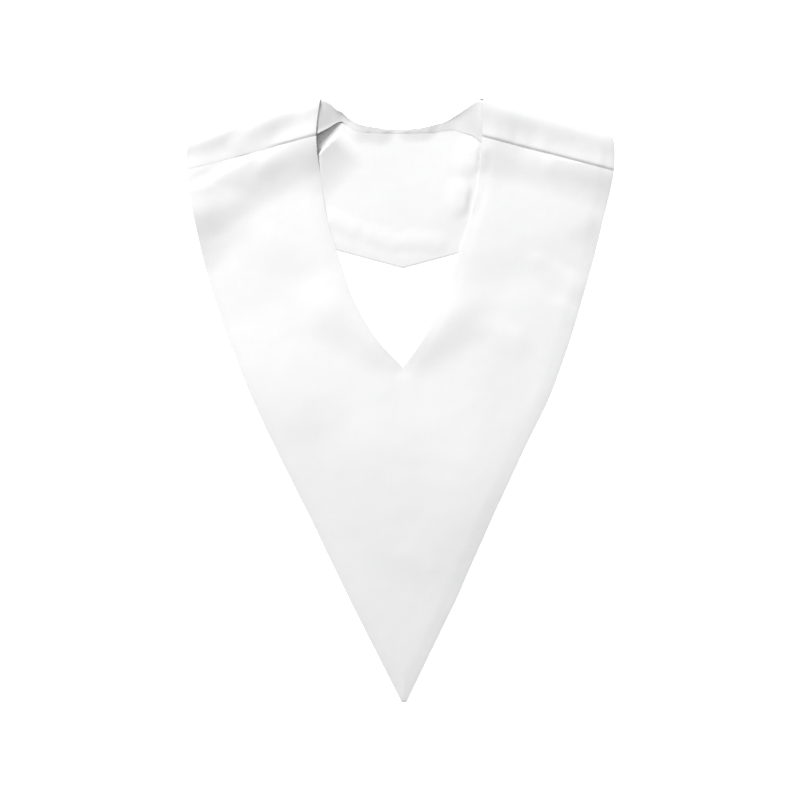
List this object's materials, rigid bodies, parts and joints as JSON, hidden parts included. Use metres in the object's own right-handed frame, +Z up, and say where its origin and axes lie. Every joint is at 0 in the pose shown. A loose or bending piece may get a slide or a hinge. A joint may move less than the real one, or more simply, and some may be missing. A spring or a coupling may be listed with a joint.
{
  "type": "graduation stole",
  "caption": "V-shaped satin graduation stole with a pointed front panel, a short back panel rolled over both shoulders, and an open V neck, lying flat.",
  "frame": {"origin": "middle of the stole's outline, on the surface that it lies on", "axes": "+Y along the length, from the front point to the shoulders; +X across, to the right seen from above; +Z up through the layers of cloth"},
  "size_m": [0.4321, 0.6098, 0.012],
  "materials": {
    "satin": "white satin with a soft sheen",
    "lining": "white satin lining",
    "facing": "white satin, turned and pressed"
  },
  "bodies": {
    "root": {"front_panel": "satin", "back_panel": "satin", "back_lining": "lining", "neck_facing": "facing"}
  },
  "joints": []
}
